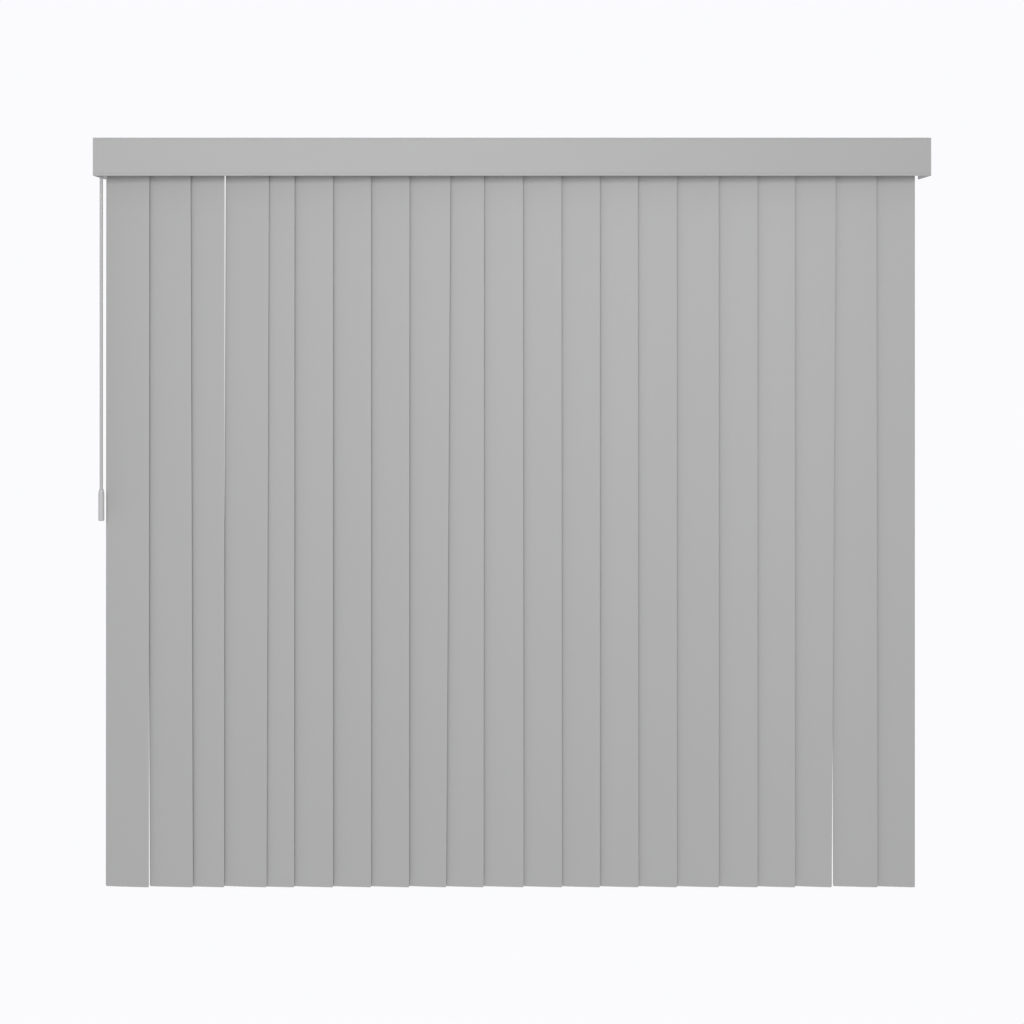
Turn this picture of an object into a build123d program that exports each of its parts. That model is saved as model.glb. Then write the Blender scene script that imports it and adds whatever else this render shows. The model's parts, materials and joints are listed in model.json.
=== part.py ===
from build123d import *
import math
import os

# Vertical blind, millimetres, +Z up. X runs along the headrail and the room is on the -Y side.
# The origin is on the wall, midway between the middle bracket's two screw holes.

# ---- driving dimensions -------------------------------------------------------------------
valance_width = 1677.0
valance_height = 76.0
valance_thickness = 2.1
vane_to_wall = 15.5
vane_to_front = 8.5
valance_top = 26.0
valance_lip_depth = 4.0
valance_lip_height = 5.6
valance_low_bead = 4.5
valance_high_bead = 3.0
valance_bead_rise = 0.5
valance_lip_wall = 1.5
return_thickness = 2.2
wall_gap = 2.0

rail_depth = 44.0
rail_height = 30.0
rail_wall = 1.3
rail_top = 16.0
rail_slot = 22.0
rail_ear = 1.5
rail_end_gap = 2.1
cap_plate = 1.4
cap_rim = 1.3
cap_rim_depth = 5.0
cap_rim_gap = 0.05

vane_count = 21
vane_width = 89.0
vane_thickness = 0.6
vane_crown = 0.3
vane_length = 1463.0
vane_top_gap = 12.0
vane_hole_width = 9.0
vane_hole_height = 5.0
vane_hole_drop = 7.5

vane_to_wand = 3.5
vane_to_return = 22.0
carrier_length = 16.5
carrier_side_gap = 0.85
carrier_wall = 1.6
glide_thickness = 3.0
slot_clearance = 0.4
running_gap = 0.3
journal_gap = 0.1

rod_radius = 2.2
rod_lobe_radius = 2.7
rod_lobe_width = 1.4
rod_height = 2.0
worm_radius = 4.2
worm_length = 12.0
pinion_radius = 4.4
pinion_teeth = 17
worm_starts = 2
pinion_height = 10.0
gear_mesh_gap = 0.4
stem_radius = 2.6
hook_width = 9.0
hook_depth = 2.4
hook_slit_gap = 0.1

stack_pitch = 18.0
spacer_rise = 0.05
spacer_thickness = 0.4
spacer_gap = 0.5
tunnel_wall = 1.2
tunnel_front_step = 1.4
tunnel_back_step = 0.9
spacer_lip = 0.6

wand_inset = 11.0
wand_behind_front = 27.0
wand_radius = 3.3
wand_length = 632.0
grip_radius = 6.0
grip_length = 64.0
wire_radius = 0.8
link_width = 11.0
link_height = 10.0
eye_hole = 3.2
eye_rim = 1.3
eye_thickness = 1.6
wand_shaft_radius = 2.4
wand_shaft_slope = 55.0
drive_gear_radius = 4.4
wand_gear_radius = 3.5

bracket_width = 30.0
bracket_thickness = 2.0
bracket_drop = 20.0
bracket_hole_radius = 2.5
bracket_hole_spacing = 16.0
bracket_inset = 130.0
clip_thickness = 1.2
clip_length = 24.0
clip_rise = 3.5
bolt_radius = 2.0
valance_clip_width = 14.0
valance_clip_thickness = 1.5

# Four turns of the wand take the vanes from closed one way to closed the other way.
wand_turns = 4
gear_ratio = pinion_teeth / worm_starts
tilt_travel = 360.0 * wand_turns / gear_ratio
closed_angle = (180.0 - tilt_travel) / 2

# How far each step between neighbouring stems is from an even step, and how far each
# vane's lower end hangs to one side, because the carriers and vanes never hang quite evenly.
step_unevenness = [
    6.0, -8.5, 12.5, -25.5, 0.5, -0.5, 0.5, 5.5, -9.5, 1.5,
    0.5, 0.5, -0.5, 1.5, 7.5, 1.0, -1.5, 5.5, 4.5, 0.0,
]
vane_sway = [-1, 5, -1, -5, -1, 0, 0, -1, -9, -1, 1, 1, 0, 1, 0, 0, 0, 0, -9, 2, 0]

# ---- derived places -----------------------------------------------------------------------
half_width = valance_width / 2
stem_from_wall = vane_width / 2 + vane_to_wall
valance_depth = stem_from_wall + vane_width / 2 + vane_to_front
return_inner = half_width - return_thickness
rail_half = return_inner - rail_end_gap
front_face = -valance_depth
front_inner = front_face + valance_thickness
valance_bottom = valance_top - valance_height

stem_y = -stem_from_wall
rail_bottom = rail_top - rail_height
rail_front = stem_y - rail_depth / 2
rail_back = stem_y + rail_depth / 2
rail_floor = rail_bottom + rail_wall
carrier_floor = rail_floor + running_gap
keel_bottom = rail_bottom - 1.2

rod_y = stem_y + pinion_radius + worm_radius + gear_mesh_gap
worm_room = worm_radius + running_gap + 0.1
pinion_room = pinion_radius + running_gap + 0.1
carrier_half_depth = rail_depth / 2 - rail_wall - cap_rim_gap - cap_rim - carrier_side_gap
rod_room = rod_lobe_radius + 0.3
stem_room = stem_radius + journal_gap

vane_top = rail_bottom - vane_top_gap
hole_z = vane_top - vane_hole_drop
hook_bottom = hole_z - 5.0
hook_top = vane_top + 4.0

first_stem = -half_width + wand_inset + vane_width / 2 + vane_to_wand
last_stem = half_width - vane_width / 2 - vane_to_return
even_step = (last_stem - first_stem - sum(step_unevenness)) / (vane_count - 1)
stem_x = [first_stem]
for extra in step_unevenness:
    stem_x.append(stem_x[-1] + even_step + extra)

longest_step = even_step + max(step_unevenness)
spacer_length = longest_step + carrier_length / 2 + 3.7
tunnel_front = stem_y - carrier_half_depth + tunnel_front_step
tunnel_back = stem_y - pinion_room - carrier_wall - tunnel_back_step
spacer_y = (tunnel_front + tunnel_back) / 2
spacer_root_z = carrier_floor + glide_thickness + 0.5
tunnel_half = (tunnel_back - tunnel_front) / 2 - tunnel_wall
spacer_width = 2 * (tunnel_half - spacer_gap)
tunnel_floor = carrier_floor + glide_thickness
tunnel_top = spacer_root_z + spacer_rise * spacer_length + spacer_thickness + spacer_lip + 0.4
tunnel_roof = tunnel_top + 1.5

wand_x = -half_width + wand_inset
wand_y = wand_behind_front - valance_depth
shaft_tilt = math.radians(wand_shaft_slope)
shaft_down = Vector(0, -math.sin(shaft_tilt), -math.cos(shaft_tilt))
gear_offset = drive_gear_radius + wand_gear_radius + 0.3
gear_centre = Vector(
    wand_x,
    rod_y + gear_offset * math.cos(shaft_tilt),
    rod_height - gear_offset * math.sin(shaft_tilt),
)
shaft_length = (gear_centre.Y - wand_y) / math.sin(shaft_tilt)
eye_centre = gear_centre + shaft_down * shaft_length
swing_z = eye_centre.Z - link_height

bracket_top = rail_top + clip_thickness + clip_rise + bracket_thickness
bracket_x = [-half_width + bracket_inset, 0.0, half_width - bracket_inset]
valance_clip_x = [-half_width + 60.0, -half_width / 3, half_width / 3, half_width - 60.0]


# ---- small helpers ------------------------------------------------------------------------
def block(x0, x1, y0, y1, z0, z1):
    """A box between two corners."""
    centre = ((x0 + x1) / 2, (y0 + y1) / 2, (z0 + z1) / 2)
    return Pos(*centre) * Box(x1 - x0, y1 - y0, z1 - z0)


def rod_between(start, end, radius):
    """A cylinder from one point to another."""
    start = Vector(*start)
    end = Vector(*end)
    plane = Plane(origin=start, z_dir=end - start)
    return extrude(plane * Circle(radius), amount=(end - start).length)


def along_x(points, x0, x1):
    """A closed (y, z) outline extruded along X."""
    outline = Polyline(*[(x0, y, z) for y, z in points], close=True)
    return extrude(make_face(outline), amount=x1 - x0, dir=(1, 0, 0))


def toothed_disc(tip_radius, depth, teeth, height):
    """A straight-toothed gear on +Z, standing on the XY plane."""
    root = tip_radius - depth
    points = []
    for tooth in range(teeth):
        for share, radius in ((-0.27, root), (-0.13, tip_radius), (0.13, tip_radius), (0.27, root)):
            angle = 2 * math.pi * (tooth + share) / teeth
            points.append((radius * math.cos(angle), radius * math.sin(angle)))
    return extrude(make_face(Polyline(*points, close=True)), amount=height)


def lobed_outline(core, lobe, half_lobe):
    """A round bar's section with three lobes."""
    section = Circle(core)
    for angle in (0, 120, 240):
        section += Rot(0, 0, angle) * Pos(lobe / 2, 0) * Rectangle(lobe, 2 * half_lobe)
    return section


# ---- headrail, caps and rod ---------------------------------------------------------------
def headrail():
    ear = rail_ear
    outer = [
        (rail_front, rail_bottom), (rail_front, rail_top - 1.2), (rail_front - ear, rail_top - 1.2),
        (rail_front - ear, rail_top), (rail_back + ear, rail_top), (rail_back + ear, rail_top - 1.2),
        (rail_back, rail_top - 1.2), (rail_back, rail_bottom),
    ]
    body = along_x(outer, -rail_half, rail_half)
    body -= block(
        -rail_half, rail_half, rail_front + rail_wall, rail_back - rail_wall, rail_floor, rail_top - rail_wall
    )
    slot = rail_slot / 2
    return body - block(-rail_half, rail_half, stem_y - slot, stem_y + slot, rail_bottom - 1, rail_floor + 1)


def end_cap(side):
    """The cap that closes one end of the rail and carries the rod. side: -1 left, 1 right."""
    plate = block(0, cap_plate, rail_front, rail_back, rail_bottom, rail_top)
    rim_front = rail_front + rail_wall + cap_rim_gap
    rim_back = rail_back - rail_wall - cap_rim_gap
    rim_top = rail_top - rail_wall - cap_rim_gap
    rim = block(-cap_rim_depth, 0, rim_front, rim_back, rail_floor + cap_rim_gap, rim_top)
    inner = (rim_front + cap_rim, rim_back - cap_rim, rail_bottom - 5, rim_top - cap_rim)
    rim -= block(-cap_rim_depth, 0, *inner)
    bearing = rod_between((-1.6, rod_y, rod_height), (0, rod_y, rod_height), rod_lobe_radius + 2.0)
    cap = plate + rim + bearing
    cap -= rod_between((-2, rod_y, rod_height), (0.9, rod_y, rod_height), rod_lobe_radius + journal_gap)
    placed = Pos(rail_half, 0, 0) * cap
    return placed if side > 0 else mirror(placed, about=Plane.YZ)


def tilt_rod():
    half = rail_half + 0.7
    section = lobed_outline(rod_radius, rod_lobe_radius, rod_lobe_width / 2)
    plane = Plane(origin=(-half, rod_y, rod_height), x_dir=(0, 1, 0), z_dir=(1, 0, 0))
    journal = rod_between((-half, rod_y, rod_height), (-half + 2.3, rod_y, rod_height), rod_lobe_radius)
    far_journal = rod_between((half - 2.3, rod_y, rod_height), (half, rod_y, rod_height), rod_lobe_radius)
    return extrude(plane * section, amount=2 * half) + journal + far_journal


# ---- carriers -----------------------------------------------------------------------------
def tunnel_block(x0, x1):
    """The covered way along which the spacer strips pass through a carrier."""
    way = block(x0, x1, tunnel_front, tunnel_back, tunnel_floor, tunnel_roof)
    return way - block(x0, x1, spacer_y - tunnel_half, spacer_y + tunnel_half, tunnel_floor, tunnel_top)


def glide(x0, x1):
    front = stem_y - carrier_half_depth
    back = stem_y + carrier_half_depth
    plate = block(x0, x1, front, back, carrier_floor, carrier_floor + glide_thickness)
    keel = rail_slot / 2 - slot_clearance
    return plate + block(x0, x1, stem_y - keel, stem_y + keel, keel_bottom, carrier_floor)


def carrier_body(x):
    """The moulded truck of one carrier, with rooms for its worm and pinion."""
    half = carrier_length / 2
    front = stem_y - pinion_room - carrier_wall
    back = rod_y + worm_room + carrier_wall
    top = rod_height + pinion_height / 2 + running_gap + carrier_wall
    body = glide(x - half, x + half) + tunnel_block(x - half, x + half)
    body += block(x - half, x + half, front, back, carrier_floor, top)
    worm_half = worm_length / 2 + running_gap
    body -= rod_between((x - worm_half, rod_y, rod_height), (x + worm_half, rod_y, rod_height), worm_room)
    body -= rod_between((x - half, rod_y, rod_height), (x + half, rod_y, rod_height), rod_room)
    low = rod_height - pinion_height / 2 - running_gap
    high = rod_height + pinion_height / 2 + running_gap
    body -= rod_between((x, stem_y, low), (x, stem_y, high), pinion_room)
    return body - rod_between((x, stem_y, keel_bottom - 1), (x, stem_y, low + 1), stem_room)


def worm(x):
    half = worm_length / 2
    body = rod_between((x - half, rod_y, rod_height), (x + half, rod_y, rod_height), worm_radius)
    return body - rod_between((x - half, rod_y, rod_height), (x + half, rod_y, rod_height), rod_room)


def spacer(x):
    """A thin strip from one carrier towards the lead, rising so that stacked strips nest."""
    slope = math.atan(spacer_rise)
    start = carrier_length / 2 - 2.5
    section = Polyline(
        (x + start, spacer_root_z - spacer_rise * start),
        (x - spacer_length, spacer_root_z + spacer_rise * spacer_length),
        (x - spacer_length, spacer_root_z + spacer_rise * spacer_length + spacer_thickness + spacer_lip),
        (x - spacer_length + 0.5, spacer_root_z + spacer_rise * spacer_length + spacer_thickness + spacer_lip),
        (x - spacer_length + 0.5, spacer_root_z + spacer_rise * (spacer_length - 0.5) + spacer_thickness),
        (x + start, spacer_root_z - spacer_rise * start + spacer_thickness),
        close=True,
    )
    edge = Plane(origin=(0, spacer_y + spacer_width / 2, 0), x_dir=(1, 0, 0), z_dir=(0, -1, 0))
    strip = extrude(edge * make_face(section), amount=spacer_width)
    rivet_height = spacer_root_z + spacer_thickness / 2 - tunnel_floor
    rivet = Pos(x, spacer_y, tunnel_floor + rivet_height / 2) * Cylinder(1.5, rivet_height)
    return strip + rivet


def follower(index):
    x = stem_x[index]
    return Compound([carrier_body(x).solid(), worm(x).solid(), spacer(x).solid()])


def lead_carrier():
    """The lead carrier, with vane 1's worm and pinion and, at its left, the wand gear's housing."""
    x = stem_x[0]
    half = carrier_length / 2
    left = wand_x - drive_gear_radius - 0.4
    right = wand_x + 9.0
    body = carrier_body(x)
    body += glide(left, x - half) + tunnel_block(left, x - half)
    back = min(rod_y + 8.0, stem_y + carrier_half_depth)
    body += block(left, right, stem_y - 5.0, back, carrier_floor, rod_height + 7.5)
    snout = gear_centre + shaft_down * (shaft_length - eye_hole - eye_rim - 11.0)
    body += rod_between(gear_centre, snout, wand_shaft_radius + 1.6)
    room_left = (left - 1, rod_y, rod_height)
    gear_right = (wand_x + 5.2, rod_y, rod_height)
    body -= rod_between(room_left, gear_right, drive_gear_radius + 0.4)
    body -= rod_between(room_left, (right + 1, rod_y, rod_height), rod_room)
    gear_start = gear_centre - shaft_down * 4.6
    gear_end = gear_centre + shaft_down * 4.6
    body -= rod_between(gear_start, gear_end, wand_gear_radius + 0.4)
    body -= rod_between(gear_centre, snout + shaft_down, wand_shaft_radius + journal_gap)
    return Compound([body.solid(), worm(x).solid()])


def drive_gear():
    """The gear that slides along the tilt rod inside the lead carrier and turns it."""
    plane = Plane(origin=(wand_x - 4.0, rod_y, rod_height), x_dir=(0, 1, 0), z_dir=(1, 0, 0))
    gear = plane * toothed_disc(drive_gear_radius, 0.6, 12, 8.8)
    clearance = journal_gap
    bore = lobed_outline(rod_radius + clearance, rod_lobe_radius + clearance, rod_lobe_width / 2 + clearance)
    return gear - extrude(plane * bore, amount=8.8)


def wand_gear():
    """The inclined gear, its shaft and, at its lower end, the eye for the wand's hook."""
    start = gear_centre - shaft_down * 4.3
    plane = Plane(origin=start, x_dir=(1, 0, 0), z_dir=shaft_down)
    gear = plane * toothed_disc(wand_gear_radius, 0.6, 12, 8.6)
    ring = eye_hole + eye_rim
    gear += rod_between(start, eye_centre - shaft_down * (ring + 1.5), wand_shaft_radius)
    neck_plane = Plane(origin=eye_centre - shaft_down * (ring + 2.5), x_dir=(1, 0, 0), z_dir=shaft_down)
    gear += extrude(neck_plane * Rectangle(eye_thickness, 3.0), amount=3.5)
    eye_plane = Plane(origin=eye_centre - Vector(eye_thickness / 2, 0, 0), z_dir=(1, 0, 0))
    gear += extrude(eye_plane * Circle(ring), amount=eye_thickness)
    return gear - extrude(eye_plane * Circle(eye_hole), amount=eye_thickness)


# ---- vanes --------------------------------------------------------------------------------
def vane_strip(sway):
    """A crowned strip, its crest on the Z axis and its width along X, hung from its hole."""
    half = vane_width / 2
    radius = (half**2 + vane_crown**2) / (2 * vane_crown)
    reach = math.degrees(math.asin(half / radius))
    path = CenterArc((0, radius), radius, 270 - reach, 2 * reach)
    ends = (path @ 0, path @ 1)
    inner_radius = radius - vane_thickness
    inner = CenterArc((0, radius), inner_radius, 270 - reach, 2 * reach)
    sides = [Line(ends[0], inner @ 0), Line(ends[1], inner @ 1)]
    section = Pos(0, -vane_thickness / 2) * make_face([path, inner] + sides)
    strip = extrude(Plane(origin=(0, 0, vane_top - vane_length)) * section, amount=vane_length)
    hole = Pos(0, 0, hole_z) * Rot(90, 0, 0) * extrude(
        RectangleRounded(vane_hole_width, vane_hole_height, 1.5), amount=20, both=True
    )
    strip -= hole
    lean = math.degrees(math.atan(sway / vane_length))
    return Pos(0, 0, hole_z) * Rot(0, -lean, 0) * Pos(0, 0, -hole_z) * strip


def stem():
    """The pinion, its stem and the hook that holds a vane."""
    low = rod_height - pinion_height / 2
    body = Pos(0, 0, low) * toothed_disc(pinion_radius, 0.7, pinion_teeth, pinion_height)
    body += rod_between((0, 0, hook_top), (0, 0, low + 1), stem_radius)
    body += block(-hook_width / 2, hook_width / 2, -hook_depth / 2, hook_depth / 2, hook_bottom, hook_top)
    slit_top = vane_top + 0.6
    half_slit = vane_thickness / 2 + hook_slit_gap
    body -= block(-hook_width, hook_width, -half_slit, half_slit, hook_bottom - 1, slit_top)
    peg = rod_between((0, -hook_depth / 2, hole_z), (0, hook_depth / 2, hole_z), 1.6)
    return body + peg


def vane(index):
    strip = vane_strip(vane_sway[index])
    place = Pos(stem_x[index], stem_y, 0) * Rot(0, 0, -closed_angle)
    return Compound([(place * strip).solid(), (place * stem()).solid()])


# ---- wand ---------------------------------------------------------------------------------
def wand_hook():
    """A wire link, joined at its top through the eye and at its foot through the cap."""
    bend = 2.0
    link = RectangleRounded(link_width, link_height, bend)
    path = link.face().outer_wire()
    middle = Plane(origin=(0, link_height / 2, 0), x_dir=(0, 0, 1), z_dir=(1, 0, 0))
    wire = sweep(middle * Circle(wire_radius), path=path)
    upright = Plane(
        origin=(eye_centre.X, eye_centre.Y, eye_centre.Z - link_height / 2), x_dir=(1, 0, 0), z_dir=(0, -1, 0)
    )
    return upright * wire


def wand_cap():
    """The cap on the rod's top, whose cross hole hangs on the link."""
    top = swing_z + 2.6
    foot = swing_z - 9.0
    flat = block(
        wand_x - 2.0, wand_x + 2.0, wand_y - wand_radius, wand_y + wand_radius, swing_z - 3.5, top
    )
    body = flat + rod_between((wand_x, wand_y, foot), (wand_x, wand_y, swing_z - 3.5), wand_radius + 0.7)
    body -= rod_between((wand_x, wand_y, foot - 1), (wand_x, wand_y, swing_z - 5.0), wand_radius)
    return body - rod_between(
        (wand_x - 3, wand_y, swing_z), (wand_x + 3, wand_y, swing_z), wire_radius + journal_gap
    )


def wand_rod():
    top = swing_z - 5.0
    return rod_between((wand_x, wand_y, top - wand_length - 20.0), (wand_x, wand_y, top), wand_radius)


def wand_grip():
    """A moulded sleeve with a tapered neck and a rounded foot, pressed on the rod's end."""
    top = swing_z - 5.0 - wand_length
    foot = top - grip_length
    outline = Polyline(
        (0, foot), (grip_radius - 1.2, foot), (grip_radius, foot + 1.6), (grip_radius, top - 9.0),
        (wand_radius + 0.8, top), (0, top), close=True,
    )
    axis = Pos(wand_x, wand_y, 0)
    grip = axis * revolve(Plane.XZ * make_face(outline), axis=Axis.Z)
    return grip - rod_between((wand_x, wand_y, top - 20.0), (wand_x, wand_y, top + 1), wand_radius)


# ---- valance ------------------------------------------------------------------------------
def valance_front():
    """The front panel, slightly proud along its edges, with a turned-in lip at top and bottom."""
    panel = block(-half_width, half_width, front_face, front_inner, valance_bottom, valance_top)
    field_low = valance_bottom + valance_low_bead
    field_high = valance_top - valance_high_bead
    sunk = front_face + valance_bead_rise
    panel -= block(-half_width - 1, half_width + 1, front_face - 1, sunk, field_low, field_high)
    reach = return_inner - 3.0
    back = front_inner + valance_lip_depth
    wall = valance_lip_wall
    for edge, sign in ((valance_top, -1), (valance_bottom, 1)):
        shelf = sorted((edge, edge + sign * wall))
        lip = sorted((edge, edge + sign * valance_lip_height))
        panel += block(-reach, reach, front_inner, back, *shelf)
        panel += block(-reach, reach, back - wall, back, *lip)
    return panel


def valance_return(side):
    x = sorted((side * return_inner, side * half_width))
    return block(*x, front_inner, -wall_gap, valance_bottom, valance_top)


def valance_corners():
    """Moulded angles that join the front panel to the returns."""
    thickness = 1.5
    low = valance_bottom + valance_lip_height + 2.0
    high = valance_top - valance_lip_height - 2.0
    corners = []
    for side in (-1, 1):
        edge = side * return_inner
        long_x = sorted((edge, edge - side * 16.0))
        short_x = sorted((edge, edge - side * thickness))
        angle = block(*long_x, front_inner, front_inner + thickness, low, high)
        corners.append((angle + block(*short_x, front_inner, front_inner + 14.0, low, high)).solid())
    return Compound(corners)


def valance_clips():
    """Clips that hook on the rail's front edge and carry the front panel by its top lip."""
    t = valance_clip_thickness
    y_tip = front_inner + 0.2
    ear_front = rail_front - rail_ear
    outline = [
        (y_tip, rail_bottom), (y_tip, valance_top - valance_lip_wall - 0.2),
        (y_tip + t, valance_top - valance_lip_wall - 0.2), (y_tip + t, rail_top + t),
        (stem_y - 8.0, rail_top + t), (stem_y - 8.0, rail_top), (ear_front - 0.1, rail_top),
        (ear_front - 0.1, rail_top - 1.3), (rail_front - 0.1, rail_top - 1.3),
        (rail_front - 0.1, rail_top - 2.5), (ear_front - t, rail_top - 2.5),
        (ear_front - t, rail_top), (y_tip + t, rail_top), (y_tip + t, rail_bottom),
    ]
    half = valance_clip_width / 2
    return Compound([along_x(outline, x - half, x + half).solid() for x in valance_clip_x])


# ---- mounting -----------------------------------------------------------------------------
def mounting_bracket(x):
    """A steel angle: one leg on the wall with two screw holes, one over the rail."""
    t = bracket_thickness
    tip = stem_y - 14.0
    outline = [
        (0, -bracket_drop), (0, bracket_top), (tip, bracket_top), (tip, bracket_top - t),
        (-t, bracket_top - t), (-t, -bracket_drop),
    ]
    half = bracket_width / 2
    body = along_x(outline, x - half, x + half)
    for side in (-1, 1):
        hole_x = x + side * bracket_hole_spacing / 2
        body -= rod_between((hole_x, 1, 0), (hole_x, -t - 1, 0), bracket_hole_radius)
    return body - rod_between((x, stem_y, bracket_top - t - 1), (x, stem_y, bracket_top + 1), bolt_radius + 0.1)


def rail_clip(x):
    """A spring clip with a raised middle, its two sides hooked under the rail's edges."""
    t = clip_thickness
    deck = rail_top + t
    raised = deck + clip_rise
    front = rail_front - rail_ear - 0.1
    back = rail_back + rail_ear + 0.1
    under = rail_top - 1.3
    outline = [
        (front, rail_top), (front, under), (rail_front - 0.1, under), (rail_front - 0.1, under - t),
        (front - t, under - t), (front - t, deck), (stem_y - 13, deck), (stem_y - 11, raised),
        (stem_y + 11, raised), (stem_y + 13, deck), (back + t, deck), (back + t, under - t),
        (rail_back + 0.1, under - t), (rail_back + 0.1, under), (back, under), (back, rail_top),
        (stem_y + 12, rail_top), (stem_y + 10, raised - t), (stem_y - 10, raised - t), (stem_y - 12, rail_top),
    ]
    half = clip_length / 2
    body = along_x(outline, x - half, x + half)
    return body - rod_between((x, stem_y, deck), (x, stem_y, raised + 1), bolt_radius + 0.1)


def bracket_bolt(x):
    """A pan-head bolt from under the clip."""
    seat = rail_top + clip_rise
    shank = rod_between((x, stem_y, seat), (x, stem_y, bracket_top + 4.2), bolt_radius)
    return shank + rod_between((x, stem_y, seat - 2.2), (x, stem_y, seat), 3.8)


def bracket_nut(x):
    nut = Pos(x, stem_y, bracket_top) * extrude(RegularPolygon(4.0, 6), amount=3.0)
    return nut - rod_between((x, stem_y, bracket_top - 1), (x, stem_y, bracket_top + 4), bolt_radius)


# ---- all nodes ----------------------------------------------------------------------------
def fasteners():
    solids = []
    for x in bracket_x:
        solids.append(bracket_bolt(x).solid())
        solids.append(bracket_nut(x).solid())
    return Compound(solids)


def nodes():
    made = {
        "headrail": headrail(),
        "end_cap_left": end_cap(-1),
        "end_cap_right": end_cap(1),
        "tilt_rod": tilt_rod(),
        "lead_carrier": lead_carrier(),
        "drive_gear": drive_gear(),
        "wand_gear": wand_gear(),
        "wand_hook": wand_hook(),
        "wand_cap": wand_cap(),
        "wand_rod": wand_rod(),
        "wand_grip": wand_grip(),
        "valance_front": valance_front(),
        "valance_return_left": valance_return(-1),
        "valance_return_right": valance_return(1),
        "valance_corners": valance_corners(),
        "valance_clips": valance_clips(),
        "mounting_brackets": Compound([mounting_bracket(x).solid() for x in bracket_x]),
        "rail_clips": Compound([rail_clip(x).solid() for x in bracket_x]),
        "bracket_bolts": fasteners(),
    }
    for index in range(vane_count):
        made[f"vane_{index + 1:02d}"] = vane(index)
        if index > 0:
            made[f"carrier_{index + 1:02d}"] = follower(index)
    return made


os.makedirs("parts", exist_ok=True)
for name, shape in nodes().items():
    export_step(shape, f"parts/{name}.step")
print("stems from", round(stem_x[0], 2), "to", round(stem_x[-1], 2))
print("eye centre", eye_centre, "swing height", round(swing_z, 2))
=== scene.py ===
import json
import math
import random

import bmesh
import bpy
from mathutils import Matrix, Vector


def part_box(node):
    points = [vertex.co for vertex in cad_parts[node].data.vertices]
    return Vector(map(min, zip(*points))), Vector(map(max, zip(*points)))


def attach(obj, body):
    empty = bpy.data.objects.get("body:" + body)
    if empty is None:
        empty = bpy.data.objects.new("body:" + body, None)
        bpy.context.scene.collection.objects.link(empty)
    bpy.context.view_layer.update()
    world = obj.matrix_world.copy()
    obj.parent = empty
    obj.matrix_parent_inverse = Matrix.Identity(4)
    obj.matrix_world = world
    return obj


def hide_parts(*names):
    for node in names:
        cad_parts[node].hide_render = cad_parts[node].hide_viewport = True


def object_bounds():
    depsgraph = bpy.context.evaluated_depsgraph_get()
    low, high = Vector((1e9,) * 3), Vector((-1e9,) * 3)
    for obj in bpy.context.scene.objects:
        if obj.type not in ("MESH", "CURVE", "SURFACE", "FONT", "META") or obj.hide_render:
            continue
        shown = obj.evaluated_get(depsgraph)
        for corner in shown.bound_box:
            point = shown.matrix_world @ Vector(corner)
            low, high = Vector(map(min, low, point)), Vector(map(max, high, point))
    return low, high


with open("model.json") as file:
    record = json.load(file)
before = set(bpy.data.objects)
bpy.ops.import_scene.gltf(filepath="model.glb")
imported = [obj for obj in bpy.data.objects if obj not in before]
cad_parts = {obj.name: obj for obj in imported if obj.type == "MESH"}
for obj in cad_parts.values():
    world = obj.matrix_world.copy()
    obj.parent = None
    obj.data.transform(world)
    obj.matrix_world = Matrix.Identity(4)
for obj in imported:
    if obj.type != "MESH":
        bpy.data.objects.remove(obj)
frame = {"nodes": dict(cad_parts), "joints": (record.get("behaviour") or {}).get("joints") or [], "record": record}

# Looks of the vertical blind: smooth modelled vanes with their stems, finishes, lights and camera.
# Everything is in metres, in the frame's own axes: +X along the headrail, -Y into the room, +Z up.

cad_low, cad_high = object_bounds()
MM = 0.001
NODES = frame["nodes"]
JOINTS = {joint["child"]: joint for joint in frame["joints"]}
VANES = sorted(name for name in NODES if name.startswith("vane_"))

VANE_WIDTH = 89.0 * MM
VANE_THICKNESS = 0.6 * MM
VANE_CROWN = 0.3 * MM
VANE_CORNER = 2.5 * MM
VANE_HOLE = (9.0 * MM, 5.0 * MM)
VANE_TOP_GAP = 12.0 * MM
PINION_TEETH = 17
PINION_RADIUS = 4.4 * MM
PINION_HALF_HEIGHT = 5.0 * MM
PINION_TWIST = math.radians(14)
TOOTH_DEPTH = 0.7 * MM
STEM_RADIUS = 2.6 * MM
HOOK_HALF_WIDTH = 4.5 * MM
HOOK_HALF_DEPTH = 1.2 * MM
HOOK_RISE = 4.0 * MM
HOOK_REACH = 5.0 * MM
SLIT_HALF_DEPTH = 0.4 * MM
PEG_RADIUS = 1.6 * MM
HOLE_DROP = 7.5 * MM
TILT_SPAN = math.radians(abs(JOINTS["vane_01"]["range_deg"][0]))
CLOSED_ANGLE = (math.pi - TILT_SPAN) / 2


# ---- materials ----------------------------------------------------------------------------
MOTTLE_SCALE = 6.0


def add(tree, kind, **values):
    node = tree.nodes.new(kind)
    for key, value in values.items():
        setattr(node, key, value)
    return node


def stretched_noise(tree, scale, stretch, detail=3.0):
    """Noise in the object's own space, drawn out along an axis by its stretch."""
    place = add(tree, "ShaderNodeTexCoord")
    mapping = add(tree, "ShaderNodeMapping")
    mapping.inputs["Scale"].default_value = stretch
    tree.links.new(place.outputs["Object"], mapping.inputs["Vector"])
    noise = add(tree, "ShaderNodeTexNoise")
    noise.inputs["Scale"].default_value = scale
    noise.inputs["Detail"].default_value = detail
    tree.links.new(mapping.outputs["Vector"], noise.inputs["Vector"])
    return noise.outputs["Fac"]


def ranged(tree, value, low, high):
    """Maps a noise value onto low..high."""
    node = add(tree, "ShaderNodeMapRange")
    node.inputs["From Min"].default_value = 0.3
    node.inputs["From Max"].default_value = 0.7
    node.inputs["To Min"].default_value = low
    node.inputs["To Max"].default_value = high
    tree.links.new(value, node.inputs["Value"])
    return node.outputs["Result"]


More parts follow.
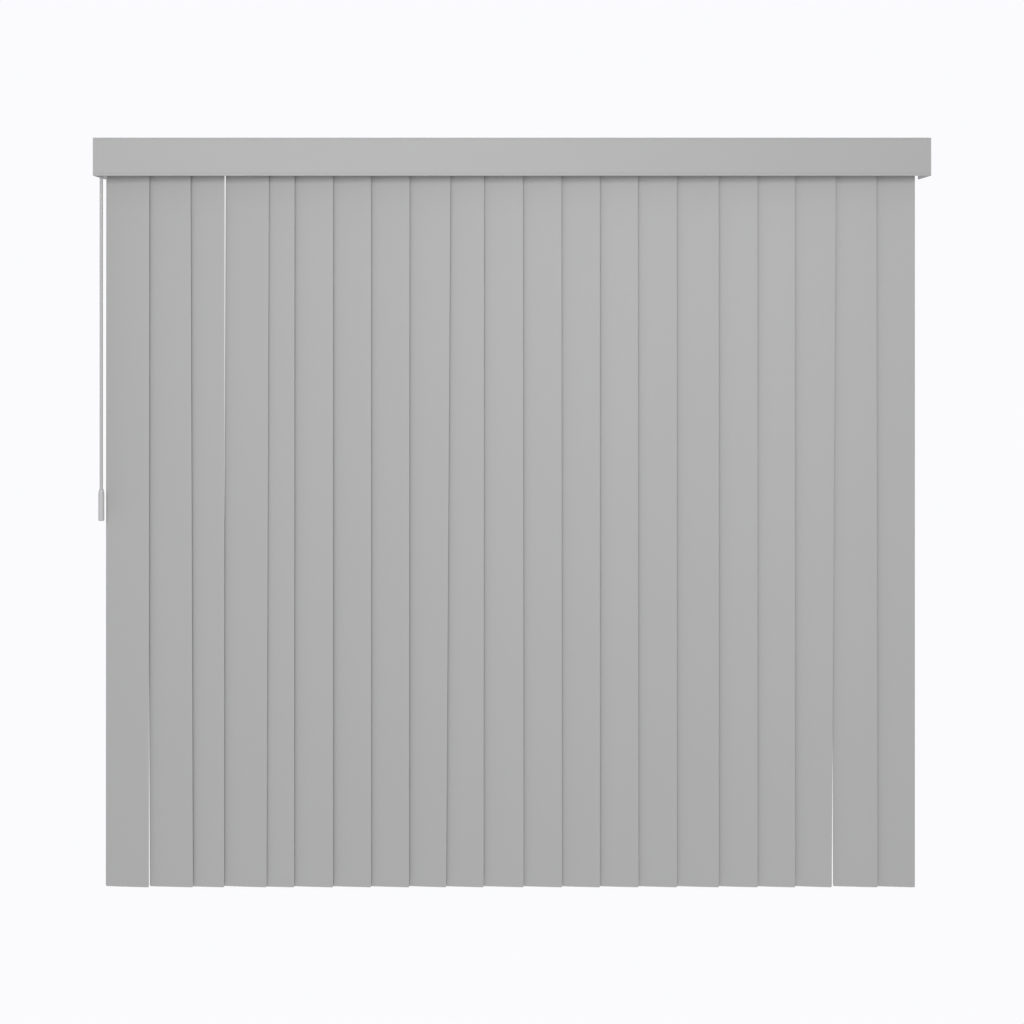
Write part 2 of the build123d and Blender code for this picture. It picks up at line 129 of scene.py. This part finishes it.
def finish(name, colour, roughness, tint=0.02, grain=900.0, stretch=(1, 1, 1), bump=0.00002,
           metallic=0.0, edge=0.0004, coat=0.0):
    """A moulded, extruded, painted or drawn surface: colour drift, uneven gloss and a fine grain."""
    material = bpy.data.materials.new(name)
    material.use_nodes = True
    tree = material.node_tree
    shader = tree.nodes["Principled BSDF"]
    shader.inputs["Metallic"].default_value = metallic
    shader.inputs["Coat Weight"].default_value = coat

    drift = stretched_noise(tree, MOTTLE_SCALE, stretch, 4.0)
    mix = add(tree, "ShaderNodeMix", data_type="RGBA")
    mix.inputs["A"].default_value = (*[c * (1 - tint) for c in colour], 1)
    mix.inputs["B"].default_value = (*[min(1.0, c * (1 + tint)) for c in colour], 1)
    tree.links.new(ranged(tree, drift, 0.0, 1.0), mix.inputs["Factor"])
    tree.links.new(mix.outputs["Result"], shader.inputs["Base Color"])

    fine = stretched_noise(tree, grain, stretch, 2.0)
    tree.links.new(ranged(tree, fine, roughness - 0.05, roughness + 0.05), shader.inputs["Roughness"])
    bumps = add(tree, "ShaderNodeBump")
    bumps.inputs["Strength"].default_value = 0.6
    bumps.inputs["Distance"].default_value = bump
    tree.links.new(fine, bumps.inputs["Height"])
    if edge:
        rounded = add(tree, "ShaderNodeBevel", samples=4)
        rounded.inputs["Radius"].default_value = edge
        tree.links.new(rounded.outputs["Normal"], bumps.inputs["Normal"])
    tree.links.new(bumps.outputs["Normal"], shader.inputs["Normal"])
    return material


ALONG_Z = (1, 1, 0.02)
ALONG_X = (0.02, 1, 1)
EVEN = (1, 1, 1)
FINISHES = {
    "vane_pvc": {
        "colour": (0.32, 0.32, 0.318), "roughness": 0.55, "tint": 0.012, "grain": 1500,
        "stretch": ALONG_Z, "bump": 0.000012, "edge": 0,
    },
    "valance_pvc": {
        "colour": (0.315, 0.315, 0.313), "roughness": 0.52, "tint": 0.010, "grain": 1500,
        "stretch": ALONG_X, "bump": 0.000012,
    },
    "carrier_acetal": {
        "colour": (0.62, 0.62, 0.60), "roughness": 0.38,
    },
    "rail_aluminium": {
        "colour": (0.62, 0.62, 0.61), "roughness": 0.40, "tint": 0.01, "grain": 2500,
        "stretch": EVEN, "bump": 0.00001,
    },
    "cap_plastic": {
        "colour": (0.58, 0.58, 0.57), "roughness": 0.44,
    },
    "corner_plastic": {
        "colour": (0.55, 0.55, 0.54), "roughness": 0.44,
    },
    "clip_plastic": {
        "colour": (0.60, 0.60, 0.59), "roughness": 0.40,
    },
    "bracket_steel": {
        "colour": (0.60, 0.60, 0.59), "roughness": 0.42, "tint": 0.02, "grain": 2200,
    },
    "clip_steel": {
        "colour": (0.62, 0.62, 0.64), "roughness": 0.34, "tint": 0.05, "grain": 1200,
        "stretch": ALONG_X, "bump": 0.00001, "metallic": 1.0,
    },
    "bolt_steel": {
        "colour": (0.60, 0.60, 0.63), "roughness": 0.32, "tint": 0.06, "grain": 1200,
        "stretch": EVEN, "bump": 0.00001, "metallic": 1.0, "edge": 0.0002,
    },
    "rod_aluminium": {
        "colour": (0.72, 0.72, 0.73), "roughness": 0.30, "tint": 0.03, "grain": 1500,
        "stretch": ALONG_X, "bump": 0.000008, "metallic": 1.0, "edge": 0,
    },
    "gear_acetal": {
        "colour": (0.60, 0.60, 0.58), "roughness": 0.36, "edge": 0.0002,
    },
    "hook_steel": {
        "colour": (0.62, 0.62, 0.63), "roughness": 0.28, "tint": 0.04, "grain": 900,
        "stretch": EVEN, "bump": 0.000008, "metallic": 1.0, "edge": 0,
    },
    "wand_plastic": {
        "colour": (0.37, 0.366, 0.36), "roughness": 0.42, "tint": 0.015, "grain": 900,
        "stretch": ALONG_Z, "bump": 0.000008, "edge": 0, "coat": 0.05,
    },
    "grip_plastic": {
        "colour": (0.40, 0.398, 0.40), "roughness": 0.42, "tint": 0.015, "grain": 1800,
        "stretch": EVEN, "bump": 0.00001, "edge": 0, "coat": 0.1,
    },
}
MATERIALS = {name: finish(name, **look) for name, look in FINISHES.items()}
SLOT_OF = {entry["node"]: entry["material_slot"] for entry in frame["record"]["subparts"]}
for name, node in NODES.items():
    node.data.materials.clear()
    node.data.materials.append(MATERIALS[SLOT_OF[name]])


# ---- mesh helpers -------------------------------------------------------------------------
def piece(name, mesh, body, slot, node):
    """A new piece that rides on a body and stands for a CAD node."""
    made = bpy.data.objects.new(name, mesh)
    bpy.context.scene.collection.objects.link(made)
    mesh.materials.clear()
    mesh.materials.append(MATERIALS[slot])
    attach(made, body)
    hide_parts(node)


def mesh_from(build, name):
    """Runs a builder on an empty bmesh and returns the finished mesh, smooth where it is gentle."""
    work = bmesh.new()
    build(work)
    bmesh.ops.recalc_face_normals(work, faces=work.faces)
    mesh = bpy.data.meshes.new(name)
    work.to_mesh(mesh)
    work.free()
    mesh.shade_smooth()
    mesh.set_sharp_from_angle(angle=math.radians(35))
    return mesh


def ring_faces(work, rings):
    """Joins rings of vertices, one after another, with quads."""
    count = len(rings[0])
    for lower, upper in zip(rings, rings[1:]):
        for k in range(count):
            n = (k + 1) % count
            work.faces.new((lower[k], lower[n], upper[n], upper[k]))


def lathe(work, profile, segments=48):
    """Turns a list of (radius, z) about Z, closed at both ends."""
    rings = []
    for radius, z in profile:
        ring = []
        for k in range(segments):
            angle = 2 * math.pi * k / segments
            ring.append(work.verts.new((radius * math.cos(angle), radius * math.sin(angle), z)))
        rings.append(ring)
    ring_faces(work, rings)
    work.faces.new(list(reversed(rings[0])))
    work.faces.new(rings[-1])


# ---- vanes --------------------------------------------------------------------------------
def vane_facts(name):
    """Where a vane hangs, how long it is and how far its foot sways, all read from the frame."""
    low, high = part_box(name)
    joint = JOINTS[name]
    stem = Vector(joint["pos_m"])
    middle = (low.x + high.x) / 2 - stem.x - VANE_CROWN * math.sin(CLOSED_ANGLE)
    return stem, low.z, 2 * middle / math.cos(CLOSED_ANGLE)


def crowned_strip(work, length, top):
    """One vane about its own stem: width along X, crest on the Z axis, hanging from z = top."""
    half = VANE_WIDTH / 2
    radius = (half**2 + VANE_CROWN**2) / (2 * VANE_CROWN)
    reach = math.asin(half / radius)
    skin = VANE_THICKNESS / 2
    edge_steps = 6
    across = 30
    outline = []
    for side in (1, -1):
        for k in range(across + 1):
            outline.append((side * (-reach + 2 * reach * k / across), side * skin))
        for k in range(1, edge_steps):
            turn = math.pi * k / edge_steps
            angle = reach + skin * math.sin(turn) / radius
            outline.append((side * angle, side * skin * math.cos(turn)))
    levels = corner_levels(length, top)
    rings = []
    for z, inset in levels:
        ring = []
        for angle, out in outline:
            shrunk = angle * (half - inset) / half
            ring.append(work.verts.new((
                (radius + out) * math.sin(shrunk), radius - (radius + out) * math.cos(shrunk), z
            )))
        rings.append(ring)
    ring_faces(work, rings)
    work.faces.new(list(reversed(rings[0])))
    work.faces.new(rings[-1])


def corner_levels(length, top):
    """Heights from the foot to the top, with how far rounded corners draw the edges in there."""
    turns = 5
    rows = 24
    foot = top - length
    straight = length - 2 * VANE_CORNER
    corner = []
    for k in range(turns):
        angle = math.pi / 2 * k / turns
        corner.append((VANE_CORNER * (1 - math.cos(angle)), VANE_CORNER * (1 - math.sin(angle))))
    levels = [(foot + rise, inset) for rise, inset in corner]
    levels += [(foot + VANE_CORNER + straight * k / rows, 0.0) for k in range(rows + 1)]
    levels += [(top - rise, inset) for rise, inset in reversed(corner)]
    return levels


def punched(strip, hole_z):
    """Cuts the hook's rounded hole through a strip object and returns its mesh."""
    wide, high = VANE_HOLE
    corner = 1.5 * MM
    work = bmesh.new()
    outline = []
    for side_x, side_z, start in ((1, 1, 0), (-1, 1, 90), (-1, -1, 180), (1, -1, 270)):
        for k in range(6):
            angle = math.radians(start + 90 * k / 5)
            outline.append((
                side_x * (wide / 2 - corner) + corner * math.cos(angle),
                hole_z + side_z * (high / 2 - corner) + corner * math.sin(angle),
            ))
    front = [work.verts.new((x, -0.02, z)) for x, z in outline]
    back = [work.verts.new((x, 0.02, z)) for x, z in outline]
    ring_faces(work, [front, back])
    work.faces.new(list(reversed(front)))
    work.faces.new(back)
    bmesh.ops.recalc_face_normals(work, faces=work.faces)
    mesh = bpy.data.meshes.new("hole_punch")
    work.to_mesh(mesh)
    work.free()
    punch = bpy.data.objects.new("hole_punch", mesh)
    bpy.context.scene.collection.objects.link(punch)
    bpy.context.scene.collection.objects.link(strip)
    cut = strip.modifiers.new("hole", "BOOLEAN")
    cut.operation = "DIFFERENCE"
    cut.object = punch
    cut.solver = "EXACT"
    graph = bpy.context.evaluated_depsgraph_get()
    result = bpy.data.meshes.new_from_object(strip.evaluated_get(graph))
    for used in (punch, strip):
        bpy.data.objects.remove(used)
    result.set_sharp_from_angle(angle=math.radians(35))
    return result


def gear_outline(tip, depth, teeth):
    points = []
    for tooth in range(teeth):
        for share, radius in ((-0.30, tip - depth), (-0.14, tip), (0.14, tip), (0.30, tip - depth)):
            angle = 2 * math.pi * (tooth + share) / teeth
            points.append((radius, angle))
    return points


def helical_gear(work, tip, depth, teeth, low, high, twist, steps=6):
    """A gear on Z whose teeth wind by twist from low to high, with broken edges at its ends."""
    rings = []
    for k in range(steps + 1):
        share = k / steps
        z = low + (high - low) * share
        pull = 0.93 if k in (0, steps) else 1.0
        turn = twist * share
        rings.append([
            work.verts.new((r * pull * math.cos(a + turn), r * pull * math.sin(a + turn), z))
            for r, a in gear_outline(tip, depth, teeth)
        ])
    ring_faces(work, rings)
    work.faces.new(list(reversed(rings[0])))
    work.faces.new(rings[-1])


def rounded_block(work, low, high, bevel):
    """A box with its edges rounded."""
    made = bmesh.ops.create_cube(work, size=1.0)
    size = Vector(high) - Vector(low)
    centre = (Vector(high) + Vector(low)) / 2
    bmesh.ops.scale(work, vec=size, verts=made["verts"])
    bmesh.ops.translate(work, vec=centre, verts=made["verts"])
    edges = {edge for vert in made["verts"] for edge in vert.link_edges}
    bmesh.ops.bevel(work, geom=list(edges), offset=bevel, segments=2, profile=0.6, affect="EDGES")


def stem_and_hook(work, gear_z, vane_top):
    """The pinion, the stem and the forked hook with its peg, about the stem's own axis."""
    gear_low = gear_z - PINION_HALF_HEIGHT
    gear_high = gear_z + PINION_HALF_HEIGHT
    helical_gear(work, PINION_RADIUS, TOOTH_DEPTH, PINION_TEETH, gear_low, gear_high, PINION_TWIST)
    hook_top = vane_top + HOOK_RISE
    hole_z = vane_top - HOLE_DROP
    foot = hole_z - HOOK_REACH
    lathe(work, [
        (STEM_RADIUS, hook_top - 0.4 * MM),
        (STEM_RADIUS, gear_low + 0.2 * MM),
        (STEM_RADIUS - 0.2 * MM, gear_high + 0.1 * MM),
    ], 32)
    wide = HOOK_HALF_WIDTH
    depth = HOOK_HALF_DEPTH
    rounded_block(work, (-wide, -depth, vane_top + 0.6 * MM), (wide, depth, hook_top), 0.4 * MM)
    for side in (-1, 1):
        near, far = sorted((side * SLIT_HALF_DEPTH, side * depth))
        rounded_block(work, (-wide, near, foot), (wide, far, vane_top + 1.2 * MM), 0.2 * MM)
    peg_length = 2 * depth - 0.4 * MM
    peg = bmesh.ops.create_cone(
        work, cap_ends=True, segments=24, radius1=PEG_RADIUS, radius2=PEG_RADIUS, depth=peg_length,
    )
    spin = Matrix.Translation((0, 0, hole_z)) @ Matrix.Rotation(math.pi / 2, 4, "X")
    bmesh.ops.transform(work, matrix=spin, verts=peg["verts"])


def make_vanes():
    stem, foot, _ = vane_facts(VANES[-1])
    rail_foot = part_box("headrail")[0].z
    top = rail_foot - VANE_TOP_GAP
    hole_z = top - HOLE_DROP
    length = top - foot
    plain = mesh_from(lambda work: crowned_strip(work, length, top), "vane_plain")
    strip_mesh = punched(bpy.data.objects.new("vane_plain", plain), hole_z)
    stem_mesh = mesh_from(lambda work: stem_and_hook(work, stem.z, top), "stem")
    pick = random.Random(7)
    for name in VANES:
        number = name[-2:]
        stem, _, sway = vane_facts(name)
        face = Matrix.Translation((stem.x, stem.y, 0)) @ Matrix.Rotation(-CLOSED_ANGLE, 4, "Z")
        lean = math.atan(sway / length)
        hang = Matrix.Translation((0, 0, hole_z)) @ Matrix.Rotation(-lean, 4, "Y")
        hang = face @ hang @ Matrix.Translation((0, 0, -hole_z))
        strip = strip_mesh.copy()
        bow = pick.uniform(-0.5, 0.5) * MM
        phase = pick.uniform(0.7, 1.3)
        for vert in strip.vertices:
            drop = (top - vert.co.z) / length
            vert.co.y += bow * math.sin(math.pi * phase * drop)
        strip.transform(hang)
        piece(f"vane_strip_{number}", strip, name, "vane_pvc", name)
        rooted = stem_mesh.copy()
        rooted.transform(face)
        piece(f"vane_stem_{number}", rooted, name, "gear_acetal", name)


make_vanes()


# ---- floor, lights, camera ----------------------------------------------------------------
def glowing(name, colour, strength):
    """An evenly lit white surface, as a lit studio sweep gives."""
    material = bpy.data.materials.new(name)
    material.use_nodes = True
    shader = material.node_tree.nodes["Principled BSDF"]
    shader.inputs["Base Color"].default_value = (0.0, 0.0, 0.0, 1)
    shader.inputs["Roughness"].default_value = 1.0
    shader.inputs["Specular IOR Level"].default_value = 0.0
    shader.inputs["Emission Color"].default_value = (*colour, 1)
    shader.inputs["Emission Strength"].default_value = strength
    return material


def make_stage():
    """A pale floor below the blind and a pale backdrop that curves round far behind it."""
    half = 60.0
    radius = 20.0
    level = cad_low[2] - 0.75
    floor = [(-half, -half, level), (half, -half, level), (half, half, level), (-half, half, level)]
    steps = 48
    arc = [math.radians(-15 + 210 * k / steps) for k in range(steps + 1)]
    foot = [(radius * math.cos(a), radius * math.sin(a), level) for a in arc]
    head = [(x, y, half) for x, y, _ in foot]
    walls = [(k, k + 1, k + steps + 2, k + steps + 1) for k in range(steps)]
    for name, points, faces in (("floor", floor, [(0, 1, 2, 3)]), ("backdrop", foot + head, walls)):
        mesh = bpy.data.meshes.new(name)
        mesh.from_pydata(points, [], faces)
        sheet = bpy.data.objects.new(name, mesh)
        bpy.context.scene.collection.objects.link(sheet)
        mesh.materials.append(glowing(name + "_white", (0.975, 0.975, 1.0), 0.99))


def make_light(name, place, aim, size, power):
    lamp = bpy.data.lights.new(name, "AREA")
    lamp.shape = "SQUARE"
    lamp.size = size
    lamp.energy = power
    light = bpy.data.objects.new(name, lamp)
    light.location = place
    light.rotation_euler = (Vector(aim) - Vector(place)).to_track_quat("-Z", "Y").to_euler()
    light.visible_camera = False
    bpy.context.scene.collection.objects.link(light)


def make_world(colour, strength):
    world = bpy.data.worlds.new("pale_room")
    world.use_nodes = True
    back = world.node_tree.nodes["Background"]
    back.inputs["Color"].default_value = (*colour, 1)
    back.inputs["Strength"].default_value = strength
    bpy.context.scene.world = world


def make_camera():
    """Level, square to the blind, a little below the valance, as the framing shows it."""
    low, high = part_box("valance_front")
    distance = 3.654
    drop = 0.259
    across = 2.048
    camera = bpy.data.cameras.new("camera")
    camera.sensor_width = 36.0
    camera.lens = camera.sensor_width * distance / across
    camera.shift_y = -0.202
    holder = bpy.data.objects.new("camera", camera)
    holder.location = ((low.x + high.x) / 2, low.y - distance, low.z - drop)
    holder.rotation_euler = (math.pi / 2, 0, 0)
    bpy.context.scene.collection.objects.link(holder)
    bpy.context.scene.camera = holder


make_stage()
make_world((1.0, 1.0, 1.0), 0.5)
make_light("key", (-0.5, -6.0, 0.6), (0.0, -0.06, -0.3), 1.6, 195)
make_camera()
bpy.context.scene.view_settings.view_transform = "Standard"
